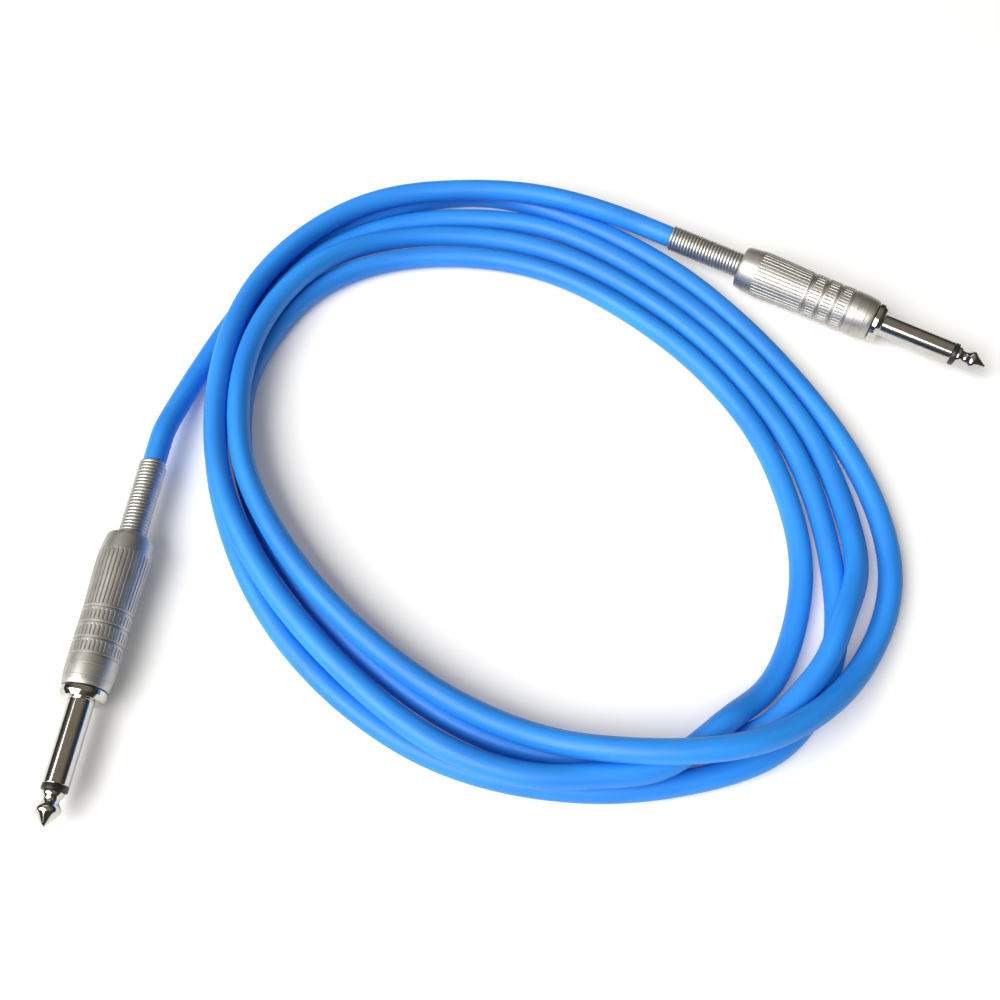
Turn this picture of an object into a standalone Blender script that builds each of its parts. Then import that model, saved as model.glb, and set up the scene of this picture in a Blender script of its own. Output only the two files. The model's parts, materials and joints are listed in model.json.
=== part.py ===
"""Instrument cable: a coiled jacket lying on a table, with a 6.35 mm phone plug on each end.

Lengths are in millimetres and turned into metres as each mesh is made. The coil is laid out
around its own centre, and one empty shifts the finished cable so that its box is centred on the
origin with its underside at zero height. Each plug is built along the +Z axis of its own empty:
zero is the front face of its collar and the tip points to +Z.
"""
import math

import bmesh
import bpy
import numpy as np
from mathutils import Matrix, Vector

MM = 0.001

# Cable
JACKET_RADIUS = 3.0             # eight-sided tube, over its corners
JACKET_END_RADIUS = 2.85        # the length gripped inside the spring
CABLE_PITCH = 6.24              # closest distance between two strands' centre lines
FLOOR_HEIGHT = 2.87             # centre line of a strand that lies on the table
PATH_STEP = 4.0                 # spacing of the settled path's points
RING_STEP = 8.0                 # spacing of the tube's rings
TAIL_LENGTH = 21.5              # along the cable, from the spring to the swing axis
LIFT_OFFSET = 9.0               # from the spring back to the lift axis
BEND_GAP = 1.5                  # clear length on each side of a bend axis

# Plug, along its own axis
PLUG_HEIGHT = 6.65              # the plug's axis above the table, the housing's largest radius
SLEEVE_RADIUS = 3.175           # quarter inch phone plug
SLEEVE_FRONT = 20.6
RING_FRONT = 22.0
TIP_FRONT = 30.2
COLLAR_RADIUS = 5.7
COLLAR_BACK = -2.4
LAND_RADIUS = 4.9
LAND_BACK = -9.0
HOUSING_FRONT = -2.7
HOUSING_BACK = -43.5
HOUSING_BORE = 5.2
NOSE_RADIUS = 5.65
WAIST_RADIUS = 6.25
WAIST_BACK = -21.0
BELLY_RADIUS = 6.65
BELLY_BACK = -36.5
REAR_RADIUS = 5.95
REAR_CORNER = 0.45
SPRING_BACK = -66.3
SPRING_RADIUS = 3.65
SPRING_BORE = 3.2
FIT_GAP = 0.3                   # clearance between neighbouring pieces
GROOVE_CENTRES = (-10.2, -14.2, -18.3, -22.4)
GROOVE_WIDTH = 0.5
GROOVE_DEPTH = 0.3

# Where each plug lies: the spring's rear end (x, y) and the bearing of the tip
LEFT_PLUG = ((-101.7, -2.2), -97.0)
RIGHT_PLUG = ((41.4, 75.9), -29.0)

# The lay of the coil, clockwise: bearing in degrees, radius, height of the centre line
LAY = (
    # first turn: outermost lane on the table, crosses over the others to the inside
    (150, 97.0, 3), (135, 99.4, 3), (120, 99.4, 3), (105, 98.0, 3), (90, 91.8, 3), (60, 78.5, 3),
    (40, 74.7, 3), (20, 77.0, 3), (0, 86.0, 3), (-20, 96.5, 3), (-35, 98.5, 5), (-45, 97.6, 9),
    (-54, 95.8, 13), (-60, 93.8, 15), (-66, 90.8, 15), (-73, 87.0, 13.5), (-81, 82.6, 11),
    (-90, 78.0, 9), (-103, 73.0, 9), (-120, 68.7, 9), (-145, 68.2, 9), (-165, 72.7, 9),
    # second turn: upper inner lane, drops to the table at the top, dives under at lower right
    (180, 78.2, 9), (160, 85.2, 9), (140, 90.2, 7), (120, 88.6, 4), (90, 75.5, 3), (60, 65.2, 3),
    (35, 63.9, 3), (15, 66.8, 3), (0, 71.6, 3), (-20, 81.4, 3), (-35, 90.6, 3), (-50, 95.8, 3),
    (-65, 93.7, 3), (-85, 88.5, 3), (-110, 84.0, 3), (-140, 80.8, 3), (-165, 82.4, 3),
    # third turn: outer lane under the last turn, drops between the lanes under the crossing
    (175, 87.0, 3), (155, 91.4, 3), (135, 94.6, 4), (120, 94.8, 3), (90, 83.8, 3), (60, 72.2, 3),
    (35, 70.4, 3), (15, 73.6, 3), (0, 78.5, 3), (-20, 86.2, 5), (-32, 88.4, 9), (-40, 91.0, 9),
    (-47, 91.8, 8.2), (-54, 91.6, 6.3), (-60, 88.6, 3.6), (-66, 87.0, 3), (-73, 84.9, 3),
    (-81, 82.3, 3), (-97, 77.6, 3), (-120, 71.2, 3), (-145, 69.8, 3), (-165, 74.0, 3),
    # fourth turn: innermost lane, climbs under the crossing to the top outside
    (180, 79.0, 3), (160, 86.8, 3), (140, 88.8, 3), (120, 81.3, 3), (90, 67.5, 3), (60, 57.9, 3),
    (35, 56.8, 3), (15, 60.0, 3), (0, 64.2, 3), (-20, 72.6, 3), (-35, 79.4, 3), (-47, 85.0, 3.2),
    (-54, 86.7, 5.4), (-60, 87.4, 9.2), (-66, 88.4, 9.2), (-73, 89.0, 8.8), (-81, 87.4, 8.6),
    (-90, 86.8, 8.8), (-103, 84.0, 8.5), (-120, 78.6, 8), (-145, 76.6, 8), (-165, 80.4, 9),
    # end of the fourth turn: top outer lane to the right plug
    (180, 84.9, 9), (160, 91.8, 9), (140, 98.8, 9), (120, 99.9, 9), (105, 95.4, 9), (90, 90.8, 9),
)
LEFT_LEAD = ((-98.6, 15.0, 5.4), (-95.5, 24.6, 3.9), (-91.4, 34.4, 3.0))
RIGHT_LEAD = ((21.5, 84.6, 8.2),)                         # from the coil to the right plug

# Finishes: base colour, roughness, metallic
BLUE_PVC = ((0.02, 0.21, 0.66), 0.35, 0.0)
SATIN_NICKEL = ((0.60, 0.58, 0.54), 0.38, 1.0)
BRIGHT_NICKEL = ((0.72, 0.71, 0.68), 0.12, 1.0)
BLACK_PLASTIC = ((0.02, 0.02, 0.02), 0.40, 0.0)
CLEAR_PLASTIC = ((0.75, 0.76, 0.74), 0.30, 0.0)
FIBRE_BOARD = ((0.30, 0.16, 0.08), 0.70, 0.0)
BRASS = ((0.78, 0.57, 0.25), 0.30, 1.0)
COPPER = ((0.80, 0.42, 0.26), 0.35, 1.0)
SOLDER = ((0.60, 0.60, 0.62), 0.35, 1.0)
WHITE_PLASTIC = ((0.80, 0.80, 0.78), 0.45, 0.0)


# ---- the cable's path ------------------------------------------------------------------------

def heading(bearing):
    """Unit vector on the table at a bearing in degrees from +X."""
    angle = math.radians(bearing)
    return np.array((math.cos(angle), math.sin(angle), 0.0))


def plug_point(plug, s):
    """A point on a plug's axis, s measured from its collar's front face."""
    (x, y), bearing = plug
    return np.array((x, y, PLUG_HEIGHT)) + heading(bearing) * (s - SPRING_BACK)


def control_points():
    """The points the cable is laid through, from the left plug to the right plug."""
    points = [plug_point(LEFT_PLUG, SPRING_BACK), plug_point(LEFT_PLUG, SPRING_BACK - LIFT_OFFSET)]
    points.extend(LEFT_LEAD)
    for bearing, radius, height in LAY:
        lane = heading(bearing) * radius
        lane[2] = max(height, FLOOR_HEIGHT)
        points.append(lane)
    points.extend(RIGHT_LEAD)
    points.append(plug_point(RIGHT_PLUG, SPRING_BACK - LIFT_OFFSET))
    points.append(plug_point(RIGHT_PLUG, SPRING_BACK))
    return np.array(points, float)


def spline(knots, parts=24):
    """Natural cubic spline through the knots, which are spaced by the root of their chords."""
    count = len(knots)
    h = np.sqrt(np.linalg.norm(np.diff(knots, axis=0), axis=1))
    matrix = np.zeros((count, count))
    rhs = np.zeros((count, 3))
    matrix[0, 0] = matrix[-1, -1] = 1.0
    for i in range(1, count - 1):
        matrix[i, i - 1:i + 2] = (h[i - 1], 2.0 * (h[i - 1] + h[i]), h[i])
        rhs[i] = 6.0 * ((knots[i + 1] - knots[i]) / h[i] - (knots[i] - knots[i - 1]) / h[i - 1])
    bend = np.linalg.solve(matrix, rhs)
    points = []
    for i in range(count - 1):
        for part in range(parts):
            u = part / parts * h[i]
            w = h[i] - u
            curve = (bend[i] * w ** 3 + bend[i + 1] * u ** 3) / (6.0 * h[i])
            line = (knots[i] / h[i] - bend[i] * h[i] / 6.0) * w
            line = line + (knots[i + 1] / h[i] - bend[i + 1] * h[i] / 6.0) * u
            points.append(curve + line)
    points.append(knots[-1])
    return np.array(points)


def resample(points, step, start=0.0, trim=0.0):
    """Points at an even spacing along a polyline, leaving start and trim off its two ends."""
    length = np.r_[0.0, np.cumsum(np.linalg.norm(np.diff(points, axis=0), axis=1))]
    count = int(round((length[-1] - trim - start) / step))
    at = np.linspace(start, length[-1] - trim, count + 1)
    return np.stack([np.interp(at, length, points[:, axis]) for axis in range(3)], axis=1)


def settle(lay, rounds=700, held=3):
    """Push strands that lie closer than the cable's pitch apart, and keep them off the table."""
    shift = np.zeros_like(lay)
    first, second = np.triu_indices(len(lay), int(28.0 / PATH_STEP))
    near = np.linalg.norm(lay[first] - lay[second], axis=1) < 14.0
    first = first[near]
    second = second[near]
    free = np.ones((len(lay), 1))
    free[:held] = 0.0
    free[-held:] = 0.0
    for _ in range(rounds):
        path = lay + shift
        tangent = np.gradient(path, axis=0)
        tangent /= np.linalg.norm(tangent, axis=1)[:, None]
        gap = path[first] - path[second]
        along = (gap * tangent[second]).sum(axis=1)
        gap -= along[:, None] * tangent[second]
        distance = np.maximum(np.linalg.norm(gap, axis=1), 1e-6)
        beside = np.abs(along) < 0.6 * PATH_STEP
        overlap = np.where(beside, np.maximum(CABLE_PITCH - distance, 0.0), 0.0)
        nudge = gap * (0.25 * overlap / distance)[:, None]
        push = np.zeros_like(lay)
        np.add.at(push, first, nudge)
        np.add.at(push, second, -nudge)
        for _ in range(3):
            push[1:-1] = (push[:-2] + 2.0 * push[1:-1] + push[2:]) / 4.0
        shift += push * free
        shift[1:-1] = 0.98 * shift[1:-1] + 0.01 * (shift[:-2] + shift[2:])
        shift[:, 2] = np.maximum(shift[:, 2], FLOOR_HEIGHT - lay[:, 2])
        shift *= free
    return lay + shift


def cable_path():
    return settle(resample(spline(control_points()), PATH_STEP))


# ---- scene and modelling helpers -------------------------------------------------------------

def clear_scene():
    for obj in list(bpy.data.objects):
        bpy.data.objects.remove(obj, do_unlink=True)


def new_collection(name):
    collection = bpy.data.collections.new(name)
    bpy.context.scene.collection.children.link(collection)
    return collection


def finish(obj, look):
    """Give an object its own Principled material."""
    colour, roughness, metallic = look
    material = bpy.data.materials.new(obj.name)
    material.use_nodes = True
    shader = material.node_tree.nodes["Principled BSDF"]
    shader.inputs["Base Color"].default_value = (*colour, 1.0)
    shader.inputs["Roughness"].default_value = roughness
    shader.inputs["Metallic"].default_value = metallic
    obj.data.materials.append(material)


def place(obj, parent, look=None):
    """Put an object on its parent empty, in the part's collection or with the cutters."""
    obj.parent = parent
    if look is None:
        tools.objects.link(obj)
        obj.hide_render = True
        obj.display_type = "WIRE"
        return obj
    cable.objects.link(obj)
    finish(obj, look)
    return obj


def empty(name, parent=None, matrix=None):
    obj = bpy.data.objects.new(name, None)
    obj.empty_display_size = 0.01
    cable.objects.link(obj)
    obj.parent = parent
    if matrix is not None:
        obj.matrix_local = matrix
    return obj


def turned(name, parent, outline, segments, look=None):
    """Turn an outline of (radius, height) about Z. It runs down the piece's outer side.

    An outline that starts and ends on the axis is left open, and any other is closed.
    """
    mesh = bpy.data.meshes.new(name)
    points = [(radius * MM, 0.0, height * MM) for radius, height in outline]
    edges = [(i, i + 1) for i in range(len(points) - 1)]
    if outline[0][0] > 0.0:
        edges.append((len(points) - 1, 0))
    mesh.from_pydata(points, edges, [])
    obj = bpy.data.objects.new(name, mesh)
    screw = obj.modifiers.new("turn", "SCREW")
    screw.steps = segments
    screw.render_steps = segments
    screw.use_merge_vertices = True
    screw.merge_threshold = 1e-6
    screw.use_smooth_shade = True
    return place(obj, parent, look)


def ring(name, parent, outer, inner, front, back, segments, look=None):
    """A plain washer or tube."""
    outline = ((outer, front), (outer, back), (inner, back), (inner, front))
    return turned(name, parent, outline, segments, look)


def box(name, parent, size, centre, look=None):
    mesh = bpy.data.meshes.new(name)
    shape = bmesh.new()
    bmesh.ops.create_cube(shape, size=1.0)
    bmesh.ops.scale(shape, vec=Vector(size) * MM, verts=shape.verts)
    shape.to_mesh(mesh)
    shape.free()
    obj = bpy.data.objects.new(name, mesh)
    obj.location = Vector(centre) * MM
    return place(obj, parent, look)


def bead(name, parent, radius, stretch, centre, look):
    """A blob of solder, longer along the plug's axis than across it."""
    mesh = bpy.data.meshes.new(name)
    shape = bmesh.new()
    bmesh.ops.create_uvsphere(shape, u_segments=10, v_segments=6, radius=radius * MM)
    bmesh.ops.scale(shape, vec=(1.0, 1.0, stretch), verts=shape.verts)
    shape.to_mesh(mesh)
    shape.free()
    mesh.shade_smooth()
    obj = bpy.data.objects.new(name, mesh)
    obj.location = Vector(centre) * MM
    return place(obj, parent, look)


def wire(name, parent, points, radius, look):
    """A round wire or tube through the points, eight-sided with its flats up and down."""
    curve = bpy.data.curves.new(name, "CURVE")
    curve.dimensions = "3D"
    curve.twist_mode = "Z_UP"
    curve.bevel_depth = radius * MM
    curve.bevel_resolution = 2
    curve.use_fill_caps = True
    line = curve.splines.new("POLY")
    line.points.add(len(points) - 1)
    for knot, point in zip(line.points, points):
        knot.co = (*(np.array(point) * MM), 1.0)
        knot.tilt = math.pi / 8.0
    return place(bpy.data.objects.new(name, curve), parent, look)


def unite(base, *others):
    """Join other closed pieces to a base piece."""
    for other in others:
        union = base.modifiers.new("with_" + other.name, "BOOLEAN")
        union.operation = "UNION"
        union.solver = "EXACT"
        union.object = other
    return base


# ---- plug pieces, each along its plug's own axis ---------------------------------------------

def sleeve_contact(side, plug):
    """Sleeve, collar and the land that carries the thread, in one turned piece."""
    bore = 2.4
    outline = (
        (SLEEVE_RADIUS, SLEEVE_FRONT),
        (SLEEVE_RADIUS, 0.0),
        (5.0, 0.0),
        (COLLAR_RADIUS, -1.2),
        (COLLAR_RADIUS, COLLAR_BACK),
        (LAND_RADIUS, COLLAR_BACK),
        (LAND_RADIUS, LAND_BACK),
        (bore, LAND_BACK),
        (bore, SLEEVE_FRONT),
    )
    return turned(side + "_sleeve_contact", plug, outline, 24, BRIGHT_NICKEL)


def tip_contact(side, plug):
    """The pointed tip with the rod that runs back through the plug."""
    rod = 1.1
    outline = (
        (0.0, TIP_FRONT),
        (0.4, TIP_FRONT - 0.25),
        (2.75, TIP_FRONT - 3.1),
        (2.95, TIP_FRONT - 3.8),
        (2.75, TIP_FRONT - 4.6),
        (1.95, TIP_FRONT - 5.9),
        (1.9, TIP_FRONT - 6.4),
        (2.5, TIP_FRONT - 7.5),
        (2.6, RING_FRONT),
        (rod, RING_FRONT),
        (rod, -15.0),
        (0.0, -15.0),
    )
    return turned(side + "_tip_contact", plug, outline, 20, BRIGHT_NICKEL)


def insulators(side, plug):
    """The black ring, the tube around the rod and the washer behind the sleeve."""
    bore = 1.45
    ring(side + "_insulator_ring", plug, 3.1, bore, RING_FRONT - FIT_GAP,
         SLEEVE_FRONT + FIT_GAP, 20, BLACK_PLASTIC)
    ring(side + "_insulating_tube", plug, 2.05, bore, SLEEVE_FRONT - 0.2, -10.1, 16,
         WHITE_PLASTIC)
    ring(side + "_rear_washer", plug, 3.1, bore, -10.4, -11.4, 16, FIBRE_BOARD)


def lugs(side, plug):
    """The two solder lugs, and the rivet ring that holds the stack on the rod."""
    bore = 1.45
    strap_top = -3.5
    strap_size = (2.4, 0.5, 24.0)
    ground = ring(side + "_ground_lug", plug, 4.4, 2.4, -9.3, -10.1, 16, BRASS)
    strap = box(side + "_ground_strap", plug, strap_size, (0.0, strap_top - 0.25, -21.5))
    clamp = ring(side + "_cable_clamp", plug, 3.75, 3.2, -31.0, -36.0, 16)
    unite(ground, strap, clamp)
    tip = ring(side + "_tip_lug", plug, 3.1, bore, -11.7, -12.3, 16, BRASS)
    tab = box(side + "_tip_tab", plug, (2.2, 0.5, 8.0), (0.0, 2.55, -15.9))
    unite(tip, tab)
    ring(side + "_rod_rivet", plug, 1.95, bore, -12.6, -13.6, 16, BRASS)


def wiring(side, plug):
    """The cable's end inside the plug: insulated core, conductor, braid and solder."""
    wire(side + "_core_insulation", plug, ((0.0, 0.0, -26.7), (0.0, 0.0, -21.0)), 1.5,
         WHITE_PLASTIC)
    conductor = ((0.0, 0.0, -20.7), (0.0, 0.1, -19.9), (0.0, 1.0, -18.9), (0.0, 1.35, -18.2))
    wire(side + "_centre_conductor", plug, conductor, 0.45, COPPER)
    bead(side + "_tip_solder", plug, 0.55, 1.4, (0.0, 1.4, -17.0), SOLDER)
    braid = ((0.0, -2.45, -26.5), (0.0, -2.55, -24.5), (0.0, -2.55, -22.3))
    wire(side + "_braid_pigtail", plug, braid, 0.6, COPPER)
    bead(side + "_ground_solder", plug, 0.6, 1.4, (0.0, -2.55, -21.0), SOLDER)


def cover_tube(side, plug):
    """The clear liner between the solder joints and the housing."""
    outer = HOUSING_BORE - FIT_GAP
    ring(side + "_cover_tube", plug, outer, outer - FIT_GAP, -13.3, -38.2, 24, CLEAR_PLASTIC)


def housing_outline():
    """Nose, waist with four grooves, a gentle swell, and a tapered rear end."""
    nose_end = -9.0
    outline = [(NOSE_RADIUS, HOUSING_FRONT), (5.95, -4.4), (6.15, -6.6), (WAIST_RADIUS, nose_end)]
    half = GROOVE_WIDTH / 2.0
    floor = WAIST_RADIUS - GROOVE_DEPTH
    for centre in GROOVE_CENTRES:
        outline.append((WAIST_RADIUS, centre + half))
        outline.append((floor, centre + half * 0.5))
        outline.append((floor, centre - half * 0.5))
        outline.append((WAIST_RADIUS, centre - half))
    outline.append(((WAIST_RADIUS + BELLY_RADIUS) / 2.0, (WAIST_BACK + BELLY_BACK) / 2.0))
    outline.append((BELLY_RADIUS, BELLY_BACK))
    outline.append((BELLY_RADIUS - 0.12, BELLY_BACK - 1.5))
    outline.append((REAR_RADIUS, HOUSING_BACK + REAR_CORNER))
    outline.append((REAR_RADIUS - REAR_CORNER, HOUSING_BACK))
    rear_bore = SPRING_RADIUS + FIT_GAP
    rear_wall = -41.8
    outline.append((rear_bore, HOUSING_BACK))
    outline.append((rear_bore, rear_wall))
    outline.append((HOUSING_BORE, rear_wall))
    outline.append((HOUSING_BORE, HOUSING_FRONT))
    return outline


def housing(side, parent):
    return turned(side + "_housing", parent, housing_outline(), 24, SATIN_NICKEL)


def strain_relief_spring(side, parent):
    """Close-wound spring, taken as a tube, with the wide last coil that the housing traps."""
    flange = 4.85
    outline = (
        (flange, -40.7),
        (flange, -41.5),
        (SPRING_RADIUS, -41.5),
        (SPRING_RADIUS, SPRING_BACK),
        (SPRING_BORE, SPRING_BACK),
        (SPRING_BORE, -40.7),
    )
    return turned(side + "_strain_relief_spring", parent, outline, 20, SATIN_NICKEL)


def plug_jacket_end(side, plug):
    """The straight length of jacket from the lift axis to where it is stripped."""
    back = SPRING_BACK - LIFT_OFFSET + BEND_GAP
    points = ((0.0, 0.0, back), (0.0, 0.0, -27.0))
    wire(side + "_plug_jacket_end", plug, points, JACKET_END_RADIUS, BLUE_PVC)


# ---- assembly --------------------------------------------------------------------------------

def plug_axes(plug, point):
    """A frame at a point with +Z towards the tip, +Y up and +X across the plug."""
    ahead = Vector(heading(plug[1]))
    up = Vector((0.0, 0.0, 1.0))
    across = up.cross(ahead)
    turn = Matrix((across, up, ahead)).transposed()
    return Matrix.Translation(Vector(point) * MM) @ turn.to_4x4()


def build_plug(side, plug, swing_point, coil_frame):
    """One plug on its chain of axes: swing, lift, then the housing that screws off."""
    swing_frame = Matrix.Translation(Vector(swing_point) * MM)
    swing = empty(side + "_tail_swing_axis", coil_frame, swing_frame)
    lift_point = plug_point(plug, SPRING_BACK - LIFT_OFFSET) - swing_point
    lift = empty(side + "_plug_lift_axis", swing, plug_axes(plug, lift_point))
    collar = Matrix.Translation((0.0, 0.0, (LIFT_OFFSET - SPRING_BACK) * MM))
    body = empty(side + "_plug_axis", lift, collar)
    slide = empty(side + "_housing_slide_axis", body)
    turn = empty(side + "_housing_turn_axis", slide)
    sleeve_contact(side, body)
    tip_contact(side, body)
    insulators(side, body)
    lugs(side, body)
    wiring(side, body)
    cover_tube(side, body)
    plug_jacket_end(side, body)
    strain_relief_spring(side, slide)
    housing(side, turn)
    return swing


def length_of(path):
    return np.linalg.norm(np.diff(path, axis=0), axis=1).sum()


def build_cable():
    path = cable_path()
    total = length_of(path)
    frame = empty("cable_frame")
    ends = TAIL_LENGTH + BEND_GAP
    wire("coil_jacket", frame, resample(path, RING_STEP, ends, ends), JACKET_RADIUS, BLUE_PVC)
    tail_from = LIFT_OFFSET + BEND_GAP
    tail_to = TAIL_LENGTH - BEND_GAP
    for side, plug, line in (("left", LEFT_PLUG, path), ("right", RIGHT_PLUG, path[::-1])):
        swing_point = resample(line, 1.0, TAIL_LENGTH, total - TAIL_LENGTH - 1.0)[0]
        swing = build_plug(side, plug, swing_point, frame)
        tail = resample(line, RING_STEP / 2.0, tail_from, total - tail_to) - swing_point
        wire(side + "_tail_jacket", swing, tail, JACKET_RADIUS, BLUE_PVC)
    return frame


def centre_on_table(frame):
    """Shift the cable so that its box is centred on the origin and stands at zero height."""
    depsgraph = bpy.context.evaluated_depsgraph_get()
    low = Vector((math.inf,) * 3)
    high = Vector((-math.inf,) * 3)
    for obj in cable.objects:
        if obj.type == "EMPTY":
            continue
        evaluated = obj.evaluated_get(depsgraph)
        mesh = evaluated.to_mesh()
        for vertex in mesh.vertices:
            point = evaluated.matrix_world @ vertex.co
            low = Vector(map(min, low, point))
            high = Vector(map(max, high, point))
        evaluated.to_mesh_clear()
    middle = (low + high) / 2.0
    frame.location = (-middle.x, -middle.y, -low.z)


clear_scene()
cable = new_collection("instrument_cable")
tools = new_collection("joined_pieces")
centre_on_table(build_cable())
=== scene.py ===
import json
import math

import bpy
import numpy as np
from mathutils import Matrix, Vector


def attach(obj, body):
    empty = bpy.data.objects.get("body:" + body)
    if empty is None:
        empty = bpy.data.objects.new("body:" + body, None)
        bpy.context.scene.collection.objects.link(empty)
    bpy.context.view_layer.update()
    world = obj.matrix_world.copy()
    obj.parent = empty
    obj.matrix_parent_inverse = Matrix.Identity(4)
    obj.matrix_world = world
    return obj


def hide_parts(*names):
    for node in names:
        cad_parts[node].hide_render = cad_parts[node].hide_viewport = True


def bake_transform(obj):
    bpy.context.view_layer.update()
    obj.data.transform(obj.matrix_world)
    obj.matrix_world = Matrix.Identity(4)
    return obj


# The instrument cable's looks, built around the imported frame. Lengths in this script are
# millimetres, and meshes are turned into metres as they are made. A plug's pieces are built
# along +Z of its own frame: zero is the collar's front face and the tip points to +Z.
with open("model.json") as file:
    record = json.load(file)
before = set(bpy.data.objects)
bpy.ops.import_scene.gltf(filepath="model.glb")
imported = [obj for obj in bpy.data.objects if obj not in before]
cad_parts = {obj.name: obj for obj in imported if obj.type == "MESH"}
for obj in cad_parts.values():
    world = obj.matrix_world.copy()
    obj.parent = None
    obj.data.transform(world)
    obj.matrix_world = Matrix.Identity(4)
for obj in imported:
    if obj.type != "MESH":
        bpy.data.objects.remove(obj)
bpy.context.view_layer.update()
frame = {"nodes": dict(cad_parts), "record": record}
record = frame["record"]
joints = {joint["name"]: joint for joint in record["behaviour"]["joints"]}

MM = 0.001
TAU = 2.0 * math.pi

# Cable
CABLE_RADIUS = 2.9
JACKET_RADIUS = 3.02            # neighbouring turns almost touch
GRIPPED_RADIUS = 2.7            # where the spring holds the jacket
CABLE_PITCH = 6.24              # least distance between the centre lines of two strands
FLOOR_HEIGHT = 2.87             # least height of the centre line
PATH_STEP = 4.0
FINE_PARTS = 4                  # spline points drawn for each step of the path
SKIN_STEP = 1.25
SKIN_SIDES = 28
TAIL_LENGTH = 21.5              # from the spring's end to the swing axis
LIFT_OFFSET = 9.0               # from the spring's end to the lift axis
SKIN_SPLIT = 16.25              # where the two bending lengths of jacket meet
COIL_START = 32.0               # where the bending length meets the coil
STRIPPED_AT = -27.0             # where the jacket ends inside the plug
GRIP_LENGTH = 1.2               # over which the jacket narrows at the spring's mouth

# Plug, along its own axis
PLUG_HEIGHT = 6.65
SLEEVE_RADIUS = 3.175
SLEEVE_FRONT = 20.6
RING_FRONT = 22.0
TIP_FRONT = 30.2
COLLAR_RADIUS = 5.7
COLLAR_BACK = -2.4
LAND_RADIUS = 4.9
LAND_BACK = -9.0
THREAD_PITCH = 0.8
THREAD_DEPTH = 0.32
HOUSING_FRONT = -2.7
HOUSING_BACK = -43.5
HOUSING_BORE = 5.2
HOUSING_REAR_WALL = -41.8
HOUSING_REAR_BORE = 3.95
NOSE_RADIUS = 5.65
NOSE_END = -9.0
WAIST_RADIUS = 6.25
WAIST_BACK = -21.0
BELLY_RADIUS = 6.65
BELLY_BACK = -36.5
REAR_RADIUS = 5.95
REAR_CORNER = 0.5
GROOVES = (-10.2, -14.2, -18.3, -22.4)
GROOVE_WIDTH = 0.66
GROOVE_DEPTH = 0.28
GROOVE_FLANK = 0.25
FINE_LINES = (-7.6, -4.9)
FINE_LINE_WIDTH = 0.24
FINE_LINE_DEPTH = 0.07
FINE_LINE_FLANK = 0.08
RIB_COUNT = 36
RIB_DEPTH = 0.18
RIB_HOLLOW = 0.17               # half a hollow's width, as a share of a rib's width
RIB_END = 0.5                   # run-out at the ends of the long ribs
TICK_END = 0.2                  # and of the short ones
LONG_RIBS = (-38.2, -22.95)
RIB_BANDS = ((-21.6, -18.95), (-17.5, -14.85), (-13.4, -10.85))
SPRING_BACK = -66.3
SPRING_WIRE = 0.475              # half the wire's width along the spring
SPRING_WIRE_DEPTH = 0.27        # half the wire's depth across it
SPRING_RADIUS = 3.35            # to the middle of the wire
SPRING_PITCH = 0.96
SPRING_FLANGE_RADIUS = 4.5
SPRING_FLARE = 0.35             # turns over which the wire opens out
SPRING_LAST = 1.1               # turns in front of the housing's rear wall

# Stage, in metres and watts
FLOOR_HALF = 3.0
FLOOR_GLOW = 0.1
FLOOR_FADE = (0.5, 2.2)         # distances over which the floor turns into the backdrop
BACKDROP = (0.86, 0.86, 0.85, 1.0)
ROOM_WALL = (0.05, 0.05, 0.049, 1.0)
ROOM_CEILING = (0.26, 0.236, 0.185, 1.0)
LIGHTS = (
    # name, place, size, power
    ("key", (-1.4, -1.0, 1.8), (2.6, 2.0), 109.0),
    ("back", (-0.5, 1.7, 1.5), (1.8, 0.8), 3.5),
)
CAMERA_LENS = 42.26
CAMERA_PLACE = (-9.4795, -159.937, 276.86)
CAMERA_TILT = 28.5

# Where each plug lies: the spring's rear end (x, y) and the bearing of the tip
LEFT_PLUG = ((-101.7, -2.2), -97.0)
RIGHT_PLUG = ((41.4, 75.9), -29.0)

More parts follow.
